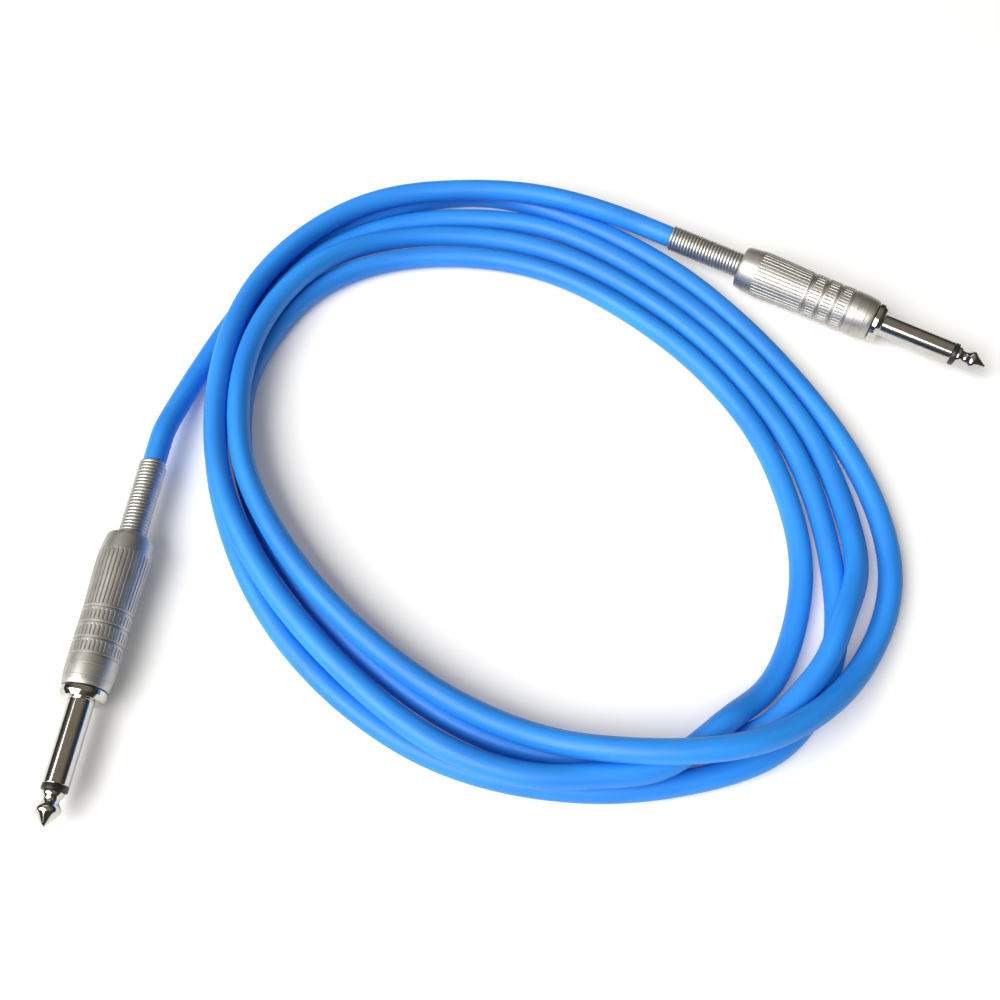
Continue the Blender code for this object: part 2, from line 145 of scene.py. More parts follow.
# The lay of the coil, clockwise: bearing in degrees, radius, height of the centre line
LAY = (
    # first turn: outermost lane on the table, crosses over the others to the inside
    (150, 97.0, 3), (135, 99.4, 3), (120, 99.4, 3), (105, 98.0, 3), (90, 91.8, 3), (60, 78.5, 3),
    (40, 74.7, 3), (20, 77.0, 3), (0, 86.0, 3), (-20, 96.5, 3), (-35, 98.5, 5), (-45, 97.6, 9),
    (-54, 95.8, 13), (-60, 93.8, 15), (-66, 90.8, 15), (-73, 87.0, 13.5), (-81, 82.6, 11),
    (-90, 78.0, 9), (-103, 73.0, 9), (-120, 68.7, 9), (-145, 68.2, 9), (-165, 72.7, 9),
    # second turn: upper inner lane, drops to the table at the top, dives under at lower right
    (180, 78.2, 9), (160, 85.2, 9), (140, 90.2, 7), (120, 88.6, 4), (90, 75.5, 3), (60, 65.2, 3),
    (35, 63.9, 3), (15, 66.8, 3), (0, 71.6, 3), (-20, 81.4, 3), (-35, 90.6, 3), (-50, 95.8, 3),
    (-65, 93.7, 3), (-85, 88.5, 3), (-110, 84.0, 3), (-140, 80.8, 3), (-165, 82.4, 3),
    # third turn: outer lane under the last turn, drops between the lanes under the crossing
    (175, 87.0, 3), (155, 91.4, 3), (135, 94.6, 4), (120, 94.8, 3), (90, 83.8, 3), (60, 72.2, 3),
    (35, 70.4, 3), (15, 73.6, 3), (0, 78.5, 3), (-20, 86.2, 5), (-32, 88.4, 9), (-40, 91.0, 9),
    (-47, 91.8, 8.2), (-54, 91.6, 6.3), (-60, 88.6, 3.6), (-66, 87.0, 3), (-73, 84.9, 3),
    (-81, 82.3, 3), (-97, 77.6, 3), (-120, 71.2, 3), (-145, 69.8, 3), (-165, 74.0, 3),
    # fourth turn: innermost lane, climbs under the crossing to the top outside
    (180, 79.0, 3), (160, 86.8, 3), (140, 88.8, 3), (120, 81.3, 3), (90, 67.5, 3), (60, 57.9, 3),
    (35, 56.8, 3), (15, 60.0, 3), (0, 64.2, 3), (-20, 72.6, 3), (-35, 79.4, 3), (-47, 85.0, 3.2),
    (-54, 86.7, 5.4), (-60, 87.4, 9.2), (-66, 88.4, 9.2), (-73, 89.0, 8.8), (-81, 87.4, 8.6),
    (-90, 86.8, 8.8), (-103, 84.0, 8.5), (-120, 78.6, 8), (-145, 76.6, 8), (-165, 80.4, 9),
    # end of the fourth turn: top outer lane to the right plug
    (180, 84.9, 9), (160, 91.8, 9), (140, 98.8, 9), (120, 99.9, 9), (105, 95.4, 9), (90, 90.8, 9),
)
LEFT_LEAD = ((-98.6, 15.0, 5.4), (-95.5, 24.6, 3.9), (-91.4, 34.4, 3.0))
RIGHT_LEAD = ((21.5, 84.6, 8.2),)


# ---- the cable's path, the same as the frame's ------------------------------------------------

def heading(bearing):
    """Unit vector on the table at a bearing in degrees from +X."""
    angle = math.radians(bearing)
    return np.array((math.cos(angle), math.sin(angle), 0.0))


def plug_point(plug, s):
    """A point on a plug's axis, s measured from its collar's front face."""
    (x, y), bearing = plug
    return np.array((x, y, PLUG_HEIGHT)) + heading(bearing) * (s - SPRING_BACK)


def control_points():
    """The points the cable is laid through, from the left plug to the right plug."""
    points = [plug_point(LEFT_PLUG, SPRING_BACK), plug_point(LEFT_PLUG, SPRING_BACK - LIFT_OFFSET)]
    points.extend(LEFT_LEAD)
    for bearing, radius, height in LAY:
        lane = heading(bearing) * radius
        lane[2] = max(height, FLOOR_HEIGHT)
        points.append(lane)
    points.extend(RIGHT_LEAD)
    points.append(plug_point(RIGHT_PLUG, SPRING_BACK - LIFT_OFFSET))
    points.append(plug_point(RIGHT_PLUG, SPRING_BACK))
    return np.array(points, float)


def spline(knots, parts=24):
    """Natural cubic spline through the knots, which are spaced by the root of their chords."""
    count = len(knots)
    h = np.sqrt(np.linalg.norm(np.diff(knots, axis=0), axis=1))
    matrix = np.zeros((count, count))
    rhs = np.zeros((count, 3))
    matrix[0, 0] = matrix[-1, -1] = 1.0
    for i in range(1, count - 1):
        matrix[i, i - 1:i + 2] = (h[i - 1], 2.0 * (h[i - 1] + h[i]), h[i])
        rhs[i] = 6.0 * ((knots[i + 1] - knots[i]) / h[i] - (knots[i] - knots[i - 1]) / h[i - 1])
    bend = np.linalg.solve(matrix, rhs)
    points = []
    for i in range(count - 1):
        for part in range(parts):
            u = part / parts * h[i]
            w = h[i] - u
            curve = (bend[i] * w ** 3 + bend[i + 1] * u ** 3) / (6.0 * h[i])
            line = (knots[i] / h[i] - bend[i] * h[i] / 6.0) * w
            line = line + (knots[i + 1] / h[i] - bend[i + 1] * h[i] / 6.0) * u
            points.append(curve + line)
    points.append(knots[-1])
    return np.array(points)


def lengths(points):
    """Length along a polyline at each of its points."""
    return np.r_[0.0, np.cumsum(np.linalg.norm(np.diff(points, axis=0), axis=1))]


def resample(points, step, start=0.0, end=None):
    """Points at an even spacing along a polyline, from one length along it to another."""
    length = lengths(points)
    end = length[-1] if end is None else end
    at = np.linspace(start, end, int(round((end - start) / step)) + 1)
    return np.stack([np.interp(at, length, points[:, axis]) for axis in range(3)], axis=1)


def settle(lay, rounds=700, held=3):
    """Push strands that lie closer than the cable's pitch apart, and keep them off the table.

    The first and last held points stay where they are, as they belong to the plugs.
    """
    same_strand = 28.0          # points nearer than this along the cable never push
    may_touch = 14.0            # points farther apart than this never meet
    abreast = 0.6 * PATH_STEP
    relax = 0.25
    ease = 0.02                 # how far the shift is evened out in each round
    shift = np.zeros_like(lay)
    first, second = np.triu_indices(len(lay), int(same_strand / PATH_STEP))
    near = np.linalg.norm(lay[first] - lay[second], axis=1) < may_touch
    first = first[near]
    second = second[near]
    free = np.ones((len(lay), 1))
    free[:held] = 0.0
    free[-held:] = 0.0
    for _ in range(rounds):
        path = lay + shift
        tangent = np.gradient(path, axis=0)
        tangent /= np.linalg.norm(tangent, axis=1)[:, None]
        gap = path[first] - path[second]
        along = (gap * tangent[second]).sum(axis=1)
        gap -= along[:, None] * tangent[second]
        distance = np.maximum(np.linalg.norm(gap, axis=1), 1e-6)
        beside = np.abs(along) < abreast
        overlap = np.where(beside, np.maximum(CABLE_PITCH - distance, 0.0), 0.0)
        nudge = gap * (relax * overlap / distance)[:, None]
        push = np.zeros_like(lay)
        np.add.at(push, first, nudge)
        np.add.at(push, second, -nudge)
        for _ in range(3):
            push[1:-1] = (push[:-2] + 2.0 * push[1:-1] + push[2:]) / 4.0
        shift += push * free
        shift[1:-1] = (1.0 - ease) * shift[1:-1] + ease / 2.0 * (shift[:-2] + shift[2:])
        shift[:, 2] = np.maximum(shift[:, 2], FLOOR_HEIGHT - lay[:, 2])
        shift *= free
    return lay + shift


# ---- mesh building ---------------------------------------------------------------------------

def face_outwards(mesh):
    """Make a closed mesh's faces point outwards, going by the sign of its volume."""
    points = np.empty(len(mesh.vertices) * 3)
    mesh.vertices.foreach_get("co", points)
    mesh.calc_loop_triangles()
    corners = np.empty(len(mesh.loop_triangles) * 3, int)
    mesh.loop_triangles.foreach_get("vertices", corners)
    a, b, c = points.reshape(-1, 3)[corners.reshape(-1, 3).T]
    if (a * np.cross(b, c)).sum() < 0.0:
        mesh.flip_normals()


def ring_mesh(name, rings, grain, hollow=False, sharp=40.0):
    """A closed surface through rings of points, each ring a row of the array.

    A hollow piece's last ring joins its first. Any other piece is capped at its two ends.
    grain holds a coordinate in millimetres for each point, which the materials follow.
    """
    rows, columns = rings.shape[:2]
    points = rings.reshape(-1, 3)
    grain = grain.reshape(-1, 3)
    links = rows if hollow else rows - 1
    row = np.arange(links)[:, None]
    column = np.arange(columns)[None, :]
    beyond = (row + 1) % rows
    beside = (column + 1) % columns
    corners = (row * columns + column, row * columns + beside,
               beyond * columns + beside, beyond * columns + column)
    quads = np.stack(np.broadcast_arrays(*corners), axis=2).reshape(-1, 4)
    faces = quads.tolist()
    if not hollow:
        hubs = (rings[0].mean(axis=0), rings[-1].mean(axis=0))
        hub_grain = (grain[:columns].mean(axis=0), grain[-columns:].mean(axis=0))
        points = np.vstack((points, hubs))
        grain = np.vstack((grain, hub_grain))
        start_hub = rows * columns
        last = (rows - 1) * columns
        for i in range(columns):
            j = (i + 1) % columns
            faces.append((start_hub, j, i))
            faces.append((start_hub + 1, last + i, last + j))
    mesh = bpy.data.meshes.new(name)
    mesh.from_pydata((points * MM).tolist(), [], faces)
    face_outwards(mesh)
    layer = mesh.attributes.new("grain", "FLOAT_VECTOR", "POINT")
    layer.data.foreach_set("vector", grain.astype(np.float32).ravel())
    mesh.shade_smooth()
    mesh.set_sharp_from_angle(angle=math.radians(sharp))
    mesh.update()
    obj = bpy.data.objects.new(name, mesh)
    bpy.context.scene.collection.objects.link(obj)
    return obj


def turned_rings(outline, angles, relief=None):
    """Rings for an outline of (height, radius) rows, with an optional relief(height, angle)."""
    height = outline[:, 0][:, None]
    radius = outline[:, 1][:, None]
    angle = angles[None, :]
    if relief is not None:
        radius = radius + relief(outline, angles)
    shape = np.broadcast_arrays(radius * np.cos(angle), radius * np.sin(angle), height + 0 * angle)
    return np.stack(shape, axis=2)


def even_angles(count):
    """Angles evenly spaced round a full turn."""
    return np.arange(count) / count * TAU


def rounded(corners, steps=5):
    """An outline with its corners rounded. Each corner is (height, radius of turning, fillet)."""
    points = []
    count = len(corners)
    for i, (height, radius, fillet) in enumerate(corners):
        here = np.array((height, radius))
        if fillet <= 0.0:
            points.append(here)
            continue
        before = np.array(corners[i - 1][:2]) - here
        after = np.array(corners[(i + 1) % count][:2]) - here
        before /= np.linalg.norm(before)
        after /= np.linalg.norm(after)
        half = math.acos(max(-1.0, min(1.0, float(before @ after)))) / 2.0
        reach = fillet / math.tan(half)
        centre = here + (before + after) / np.linalg.norm(before + after) * fillet / math.sin(half)
        start = here + before * reach - centre
        end = here + after * reach - centre
        arc = math.atan2(start[0] * end[1] - start[1] * end[0], float(start @ end))
        for step in range(steps + 1):
            turn = arc * step / steps
            cos, sin = math.cos(turn), math.sin(turn)
            points.append(centre + (start[0] * cos - start[1] * sin,
                                    start[0] * sin + start[1] * cos))
    return np.array(points)


def sweep(path, radius, sides):
    """Rings of a round section along a path, with the section's own up kept level."""
    tangent = np.gradient(path, axis=0)
    tangent /= np.linalg.norm(tangent, axis=1)[:, None]
    across = np.cross((0.0, 0.0, 1.0), tangent)
    across /= np.linalg.norm(across, axis=1)[:, None]
    up = np.cross(tangent, across)
    angle = even_angles(sides)
    radius = np.broadcast_to(radius, len(path))[:, None, None]
    around = (across[:, None, :] * np.cos(angle)[None, :, None]
              + up[:, None, :] * np.sin(angle)[None, :, None])
    return path[:, None, :] + around * radius


def cable_grain(path, sides, start):
    """Grain coordinates of a jacket: length along it, and the point on its own section."""
    along = (lengths(path) + start)[:, None] + np.zeros((1, sides))
    angle = even_angles(sides)[None, :] + np.zeros((len(path), 1))
    return np.stack((along, CABLE_RADIUS * np.cos(angle), CABLE_RADIUS * np.sin(angle)), axis=2)


# ---- materials -------------------------------------------------------------------------------

class Paint:
    """A Principled material with helpers that add nodes and links to it."""

    def __init__(self, name, **values):
        self.material = bpy.data.materials.new(name)
        self.material.use_nodes = True
        self.tree = self.material.node_tree
        self.shader = self.tree.nodes["Principled BSDF"]
        for key, value in values.items():
            self.shader.inputs[key.replace("_", " ")].default_value = value

    def add(self, kind, settings=(), **inputs):
        """A new node of a kind, with its settings and its inputs' values or links."""
        node = self.tree.nodes.new("ShaderNode" + kind)
        for key, value in settings:
            setattr(node, key, value)
        for key, value in inputs.items():
            self.set(node.inputs[key.replace("_", " ")], value)
        return node

    def set(self, socket, value):
        """Link an output to a socket, or give the socket a plain value."""
        if hasattr(value, "links"):
            self.tree.links.new(value, socket)
        else:
            socket.default_value = value

    def feed(self, name, value):
        """Link an output to one of the shader's own inputs, or give it a value."""
        self.set(self.shader.inputs[name], value)

    def grain(self, scale):
        """The piece's grain coordinate, stretched by a scale along each direction."""
        source = self.add("Attribute", (("attribute_name", "grain"),))
        mapping = self.add("Mapping", Vector=source.outputs["Vector"], Scale=scale)
        return mapping.outputs["Vector"]

    def noise(self, scale, detail=3.0, roughness=0.5):
        """Noise over the grain; scale is in cells for each millimetre."""
        node = self.add("TexNoise", Vector=self.grain(scale), Scale=1.0, Detail=detail,
                        Roughness=roughness)
        return node.outputs["Fac"]

    def ramp(self, value, low, high):
        """From one colour to another over the middle of a noise's range."""
        node = self.add("ValToRGB", Fac=value)
        node.color_ramp.elements[0].position = 0.3
        node.color_ramp.elements[0].color = (*low, 1.0)
        node.color_ramp.elements[1].position = 0.7
        node.color_ramp.elements[1].color = (*high, 1.0)
        return node.outputs["Color"]

    def remap(self, value, low, high, low_at=0.3, high_at=0.7):
        """A value from low to high as the input goes from low_at to high_at."""
        node = self.add("MapRange", Value=value, From_Min=low_at, From_Max=high_at, To_Min=low,
                        To_Max=high)
        return node.outputs["Result"]

    def blend(self, factor, first, second):
        """The first colour where the factor is 0, the second where it is 1."""
        node = self.add("Mix", (("data_type", "RGBA"), ("blend_type", "MIX")))
        self.set(node.inputs[0], factor)
        self.set(node.inputs[6], first)
        self.set(node.inputs[7], second)
        return node.outputs[2]

    def bump(self, height, depth, normal=None):
        """A bump whose full height is depth millimetres."""
        node = self.add("Bump", Height=height, Distance=depth * MM, Strength=1.0)
        if normal is not None:
            self.set(node.inputs["Normal"], normal)
        return node.outputs["Normal"]


def blue_pvc():
    """Soft blue jacket: cloudy colour, faint scuffs along it, and fine draw lines."""
    paint = Paint("blue_jacket", IOR=1.50)
    cloud = paint.noise((0.03, 0.25, 0.25), detail=2.0)
    colour = paint.ramp(cloud, (0.012, 0.200, 0.69), (0.022, 0.280, 0.85))
    scuff = paint.noise((0.25, 3.0, 3.0), detail=5.0, roughness=0.7)
    colour = paint.blend(paint.remap(scuff, 0.0, 0.25, 0.60, 0.78), colour,
                         (0.09, 0.40, 0.86, 1.0))
    paint.feed("Base Color", colour)
    paint.feed("Roughness", paint.remap(scuff, 0.42, 0.56))
    pores = paint.noise((2.2, 2.2, 2.2), detail=4.0)
    draw_lines = paint.noise((0.12, 3.2, 3.2), detail=2.0)
    paint.feed("Normal", paint.bump(pores, 0.012, paint.bump(draw_lines, 0.03)))
    return paint.material


def worn_metal(name, colour, dull, roughness, cut, cut_depth):
    """Plated metal: cut marks along one direction, dull patches, and painted shade in its corners.
    """
    paint = Paint(name, Metallic=1.0)
    marks = paint.noise(cut, detail=4.0, roughness=0.65)
    patches = paint.noise((0.35, 0.35, 0.35), detail=3.0)
    base = paint.ramp(patches, dull, colour)
    base = paint.blend(paint.remap(marks, 0.0, 0.35), base,
                       (*(min(1.0, part * 1.12) for part in colour), 1.0))
    # Painted shade: the base colour turns dark grey where ambient occlusion finds corners and
    # recesses
    corner = paint.add("AmbientOcclusion", (("samples", 6),), Distance=0.7 * MM)
    painted_corner_shade = paint.remap(corner.outputs["AO"], 0.65, 0.0, 0.35, 0.85)
    base = paint.blend(painted_corner_shade, base, (dull[0] * 0.30, dull[1] * 0.29, dull[2] * 0.28, 1.0))
    paint.feed("Base Color", base)
    paint.feed("Roughness", paint.remap(marks, roughness * 0.82, roughness * 1.25))
    paint.feed("Normal", paint.bump(marks, cut_depth))
    return paint.material


def plain_plastic(name, colour, roughness, speckle=0.15):
    """Plastic or board of one colour, with a little cloud in colour and gloss."""
    paint = Paint(name, IOR=1.5)
    cloud = paint.noise((0.8, 0.8, 0.8), detail=3.0)
    darker = tuple(part * (1.0 - speckle) for part in colour)
    paint.feed("Base Color", paint.ramp(cloud, darker, colour))
    paint.feed("Roughness", paint.remap(cloud, roughness * 0.85, roughness * 1.15))
    paint.feed("Normal", paint.bump(paint.noise((6.0, 6.0, 6.0)), 0.01))
    return paint.material


# ---- cable pieces ----------------------------------------------------------------------------

def joint_point(name):
    """A point on a joint's axis, in millimetres."""
    return np.array(joints[name]["pos_m"]) / MM


def skin(name, path, start, radius=JACKET_RADIUS):
    """A length of jacket, its outside drawn slightly uneven as an extruded jacket is."""
    along = lengths(path) + start
    uneven = 0.012 * np.sin(along / 23.0) + 0.008 * np.sin(along / 7.3 + 1.0)
    rings = sweep(path, radius + uneven, SKIN_SIDES)
    piece = ring_mesh(name, rings, cable_grain(path, SKIN_SIDES, start))
    piece.data.materials.append(JACKET)
    return piece


def coil_skin(path):
    """The jacket of the whole coil, in one length."""
    end = lengths(path)[-1] - COIL_START
    piece = skin("coil_jacket_skin", resample(path, SKIN_STEP, COIL_START, end), COIL_START)
    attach(piece, "coil")
    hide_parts("coil_jacket")


def tail_skins(side, plug, line):
    """The two lengths of jacket at the swing axis and at the lift axis, built in place and
    attached to no body.
    """
    outer = resample(line, SKIN_STEP, SKIN_SPLIT, COIL_START)
    swing = joint_point(side + "_tail_swing")
    lift = joint_point(side + "_plug_lift")
    towards_plug = lift - swing
    towards_plug /= np.linalg.norm(towards_plug)
    piece = skin(side + "_tail_skin", outer[::-1], 0.0)
    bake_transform(piece)
    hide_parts(side + "_tail_jacket")
    ahead = heading(plug[1])
    bend = resample(line, SKIN_STEP, LIFT_OFFSET, SKIN_SPLIT)[::-1]
    straight_length = STRIPPED_AT - SPRING_BACK + LIFT_OFFSET
    stations = np.arange(1, int(straight_length / SKIN_STEP) + 1) * SKIN_STEP
    straight = bend[-1] + ahead[None, :] * stations[:, None]
    path = np.vstack((bend, straight))
    beyond = lengths(path) - SKIN_SPLIT
    squeeze = np.clip(beyond / GRIP_LENGTH + 0.5, 0.0, 1.0)
    radius = JACKET_RADIUS + (GRIPPED_RADIUS - JACKET_RADIUS) * squeeze
    piece = skin(side + "_plug_skin", path, 0.0, radius)
    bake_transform(piece)
    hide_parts(side + "_plug_jacket_end")


# ---- plug pieces -----------------------------------------------------------------------------

def plug_frame(side):
    """World matrix of a plug's own frame, from the axis that its housing turns on."""
    turn = joints[side + "_housing_turn"]
    ahead = -Vector(turn["axis"])
    ahead.normalize()
    up = Vector((0.0, 0.0, 1.0))
    across = up.cross(ahead)
    basis = Matrix((across, up, ahead)).transposed().to_4x4()
    return Matrix.Translation(Vector(turn["pos_m"])) @ basis


def fit_plug_piece(side, piece, body, material, slot, *nodes):
    """Put a piece built along +Z onto its plug, on a body, in place of CAD nodes."""
    piece.data.transform(plug_frame(side))
    piece.data.materials.append(material)
    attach(piece, side + "_" + body)
    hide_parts(*(side + "_" + node for node in nodes))
    return piece


def turned_piece(name, outline, segments, relief=None):
    """A piece turned from a closed outline, with a bore through it."""
    rings = turned_rings(outline, even_angles(segments), relief)
    return ring_mesh(name, rings, rings, True)


def smooth_step(value):
    """0 to 1 with level ends, as the value goes from 0 to 1."""
    value = np.clip(value, 0.0, 1.0)
    return value * value * (3.0 - 2.0 * value)


def turned_groove(s, centre, width, depth, flank):
    """Depth of a groove with sloping flanks and a flat floor."""
    return depth * np.clip((width / 2.0 - np.abs(s - centre)) / flank, 0.0, 1.0)


def housing_radius(s):
    """Outer radius of the housing at s, before ribs: nose, waist, grooves, swell and taper."""
    share = np.clip((HOUSING_FRONT - s) / (HOUSING_FRONT - NOSE_END), 0.0, 1.0)
    radius = NOSE_RADIUS + (WAIST_RADIUS - NOSE_RADIUS) * (1.0 - (1.0 - share) ** 2.2)
    swell = smooth_step((WAIST_BACK - s) / (WAIST_BACK - BELLY_BACK))
    radius = radius + (BELLY_RADIUS - WAIST_RADIUS) * swell
    rear = np.clip((BELLY_BACK - s) / (BELLY_BACK - HOUSING_BACK), 0.0, 1.0)
    radius = radius - (BELLY_RADIUS - REAR_RADIUS) * rear ** 1.5
    for centre in GROOVES:
        radius = radius - turned_groove(s, centre, GROOVE_WIDTH, GROOVE_DEPTH, GROOVE_FLANK)
    for centre in FINE_LINES:
        radius = radius - turned_groove(s, centre, FINE_LINE_WIDTH, FINE_LINE_DEPTH,
                                        FINE_LINE_FLANK)
    return radius


def rib_relief(outline, angles):
    """Depth of the hollows between the ribs, for the outer side only."""
    s = outline[:, 0]
    amount = np.zeros_like(s)
    for (back, front), end in ((LONG_RIBS, RIB_END), *((band, TICK_END) for band in RIB_BANDS)):
        rise = smooth_step((s - back) / end) * smooth_step((front - s) / end)
        amount = np.maximum(amount, rise)
    amount = amount * (outline[:, 1] > HOUSING_BORE + 0.3)
    cell = (angles / TAU * RIB_COUNT) % 1.0
    hollow = smooth_step(1.0 - np.abs(cell - 0.5) / RIB_HOLLOW)
    return -RIB_DEPTH * amount[:, None] * hollow[None, :]


def rib_angles():
    """Angles packed towards the hollows: eleven for each rib."""
    cell = np.array((0.0, 0.17, 0.32, 0.37, 0.42, 0.47, 0.53, 0.58, 0.63, 0.68, 0.83))
    return ((np.arange(RIB_COUNT)[:, None] + cell[None, :]) / RIB_COUNT * TAU).ravel()


def groove_stations(centre, width, flank):
    """Heights at a groove: a support loop outside it, and its flank and floor on each side."""
    half = width / 2.0
    offsets = (half + 0.12, half + 0.02, half, half - flank / 2.0, half - flank)
    return [centre + side * offset for side in (-1.0, 1.0) for offset in offsets]


def housing_stations():
    """Heights for the outer side, close together at the grooves, lines and rib ends."""
    stations = np.linspace(HOUSING_FRONT - 0.25, HOUSING_BACK + REAR_CORNER, 40)
    lines = [(centre, GROOVE_WIDTH, GROOVE_FLANK) for centre in GROOVES]
    lines += [(centre, FINE_LINE_WIDTH, FINE_LINE_FLANK) for centre in FINE_LINES]
    for centre, width, flank in lines:
        stations = stations[np.abs(stations - centre) > width / 2.0 + 0.15]
        stations = np.append(stations, groove_stations(centre, width, flank))
    for (back, front), end in ((LONG_RIBS, RIB_END), *((band, TICK_END) for band in RIB_BANDS)):
        for edge in (back, front - end):
            stations = np.append(stations, edge + np.linspace(0.0, end, 5))
    return np.unique(np.round(stations, 3))[::-1]


def housing(side):
    """Nickel plated shell with lengthwise ribs, three ribbed bands and turned grooves."""
    s = housing_stations()
    outer = np.stack((s, housing_radius(s)), axis=1)
    # The corners that are sliced off here only steer the fillet beside them
    lip = rounded((
        (HOUSING_REAR_WALL, HOUSING_BORE, 0.0),
        (HOUSING_FRONT, HOUSING_BORE, 0.12),
        (HOUSING_FRONT, NOSE_RADIUS, 0.22),
        (HOUSING_FRONT - 4.0, NOSE_RADIUS + 0.35, 0.0),
    ), 4)[:-1]
    rear = rounded((
        (BELLY_BACK, BELLY_RADIUS - 0.1, 0.0),
        (HOUSING_BACK, REAR_RADIUS, REAR_CORNER),
        (HOUSING_BACK, HOUSING_REAR_BORE, 0.2),
        (HOUSING_REAR_WALL, HOUSING_REAR_BORE, 0.1),
        (HOUSING_REAR_WALL, HOUSING_BORE, 0.0),
    ), 5)[1:-1]
    outer = outer[(outer[:, 0] < lip[-1, 0] - 0.02) & (outer[:, 0] > rear[0, 0] + 0.02)]
    outline = np.vstack((lip, outer, rear))
    rings = turned_rings(outline, rib_angles(), rib_relief)
    piece = ring_mesh(side + "_housing_shell", rings, rings, True, 32.0)
    fit_plug_piece(side, piece, "housing", HOUSING_METAL, "satin_nickel", "housing")


def thread_relief(outline, angles):
    """A real helical thread on the land behind the collar, fading at its two ends."""
    s = outline[:, 0][:, None]
    on_land = (np.abs(outline[:, 1] - LAND_RADIUS) < 0.01)[:, None]
    fade = smooth_step((s - LAND_BACK - 0.1) / 0.5) * smooth_step((COLLAR_BACK - 0.5 - s) / 0.5)
    phase = (s / THREAD_PITCH - angles[None, :] / TAU) % 1.0
    # A triangle wave with its crests and roots cut flat
    valley = 1.0 - np.abs(phase - 0.5) * 2.0
    return -THREAD_DEPTH * fade * on_land * np.clip(valley * 1.3 - 0.15, 0.0, 1.0)


def sleeve_contact(side):
    """Polished sleeve, bevelled collar and the threaded land, in one turned piece."""
    bore = 2.4
    front = rounded((
        (SLEEVE_FRONT, bore, 0.1),
        (SLEEVE_FRONT, SLEEVE_RADIUS, 0.22),
        (0.0, SLEEVE_RADIUS, 0.25),
        (0.0, 5.0, 0.2),
        (-1.15, COLLAR_RADIUS, 0.35),
        (COLLAR_BACK, COLLAR_RADIUS, 0.15),
        (COLLAR_BACK, LAND_RADIUS, 0.1),
        (LAND_BACK, LAND_RADIUS, 0.15),
        (LAND_BACK, bore, 0.1),
    ), 5)
    on_land = np.abs(front[:, 1] - LAND_RADIUS) < 0.01
    split = np.flatnonzero(on_land)[0] + 1
    land_front, land_back = COLLAR_BACK - 0.3, LAND_BACK + 0.3
    count = int((land_front - land_back) / THREAD_PITCH * 10)
    land = np.stack((np.linspace(land_front, land_back, count), np.full(count, LAND_RADIUS)), 1)
    outline = np.vstack((front[:split], land, front[split:]))
    piece = turned_piece(side + "_sleeve", outline[::-1], 96, thread_relief)
    fit_plug_piece(side, piece, "plug", POLISHED_METAL, "bright_nickel", "sleeve_contact")


def tip_contact(side):
    """Pointed tip with its waist, on the rod that runs back through the plug."""
    rod = 1.1
    knots = np.array(((-7.75, 2.62), (-7.35, 2.52), (-6.8, 2.18), (-6.2, 1.92), (-5.6, 2.05),
                      (-5.0, 2.45), (-4.4, 2.82), (-3.8, 2.95), (-3.3, 2.82)))
    knots[:, 0] += TIP_FRONT
    waist = spline(np.c_[knots, np.zeros(len(knots))], 6)[:, :2]
    tip_round = [(TIP_FRONT - 0.32 + 0.32 * math.cos(a), 0.42 * math.sin(a))
                 for a in np.linspace(0.08, math.pi / 2.0, 6)]
    cone = np.linspace((TIP_FRONT - 3.2, 2.76), (TIP_FRONT - 0.42, 0.52), 5)
    back = ((RING_FRONT + 0.16, 2.58), (RING_FRONT + 0.05, 2.52), (RING_FRONT, 2.42),
            (RING_FRONT, rod), (-14.8, rod), (-15.0, rod - 0.2))
    outline = np.vstack((tip_round, cone[::-1], waist[::-1], back))
    rings = turned_rings(outline, even_angles(80))
    piece = ring_mesh(side + "_tip", rings, rings, False, 35.0)
    fit_plug_piece(side, piece, "plug", POLISHED_METAL, "bright_nickel", "tip_contact")


def insulator_ring(side):
    """Black ring between the sleeve and the tip."""
    outline = rounded((
        (SLEEVE_FRONT + 0.03, 1.45, 0.1),
        (SLEEVE_FRONT + 0.03, 3.14, 0.15),
        (RING_FRONT - 0.03, 3.14, 0.3),
        (RING_FRONT - 0.03, 1.45, 0.1),
    ), 5)
    piece = turned_piece(side + "_insulator", outline, 72)
    fit_plug_piece(side, piece, "plug", BLACK, "black_insulator", "insulator_ring")


def strain_relief_spring(side):
    """Close-wound spring. Its last turn opens out inside the housing, where it is trapped."""
    per_turn = 28
    back = SPRING_BACK + SPRING_WIRE
    wound = (HOUSING_REAR_WALL + SPRING_WIRE + 0.05 - back) / SPRING_PITCH
    count = int((wound + SPRING_LAST) * per_turn)
    turn = np.arange(count + 1) / per_turn
    flare = smooth_step((turn - wound) / SPRING_FLARE)
    radius = SPRING_RADIUS + (SPRING_FLANGE_RADIUS - SPRING_RADIUS) * flare
    angle = TAU * turn
    height = back + np.minimum(turn, wound) * SPRING_PITCH + 0.1 * flare
    path = np.stack((radius * np.cos(angle), radius * np.sin(angle), height), axis=1)
    outward = np.stack((np.cos(angle), np.sin(angle), np.zeros_like(angle)), axis=1)
    tangent = np.gradient(path, axis=0)
    tangent /= np.linalg.norm(tangent, axis=1)[:, None]
    side_way = np.cross(tangent, outward)
    around = even_angles(14)
    end = np.minimum(turn, turn[-1] - turn) * per_turn
    taper = np.clip(0.55 + 0.45 * end, 0.0, 1.0)
    ring = (outward[:, None, :] * np.cos(around)[None, :, None] * SPRING_WIRE_DEPTH
            + side_way[:, None, :] * np.sin(around)[None, :, None] * SPRING_WIRE)
    rings = path[:, None, :] + ring * taper[:, None, None]
    piece = ring_mesh(side + "_spring", rings, rings, False, 60.0)
    fit_plug_piece(side, piece, "spring", SPRING_METAL, "spring_steel", "strain_relief_spring")


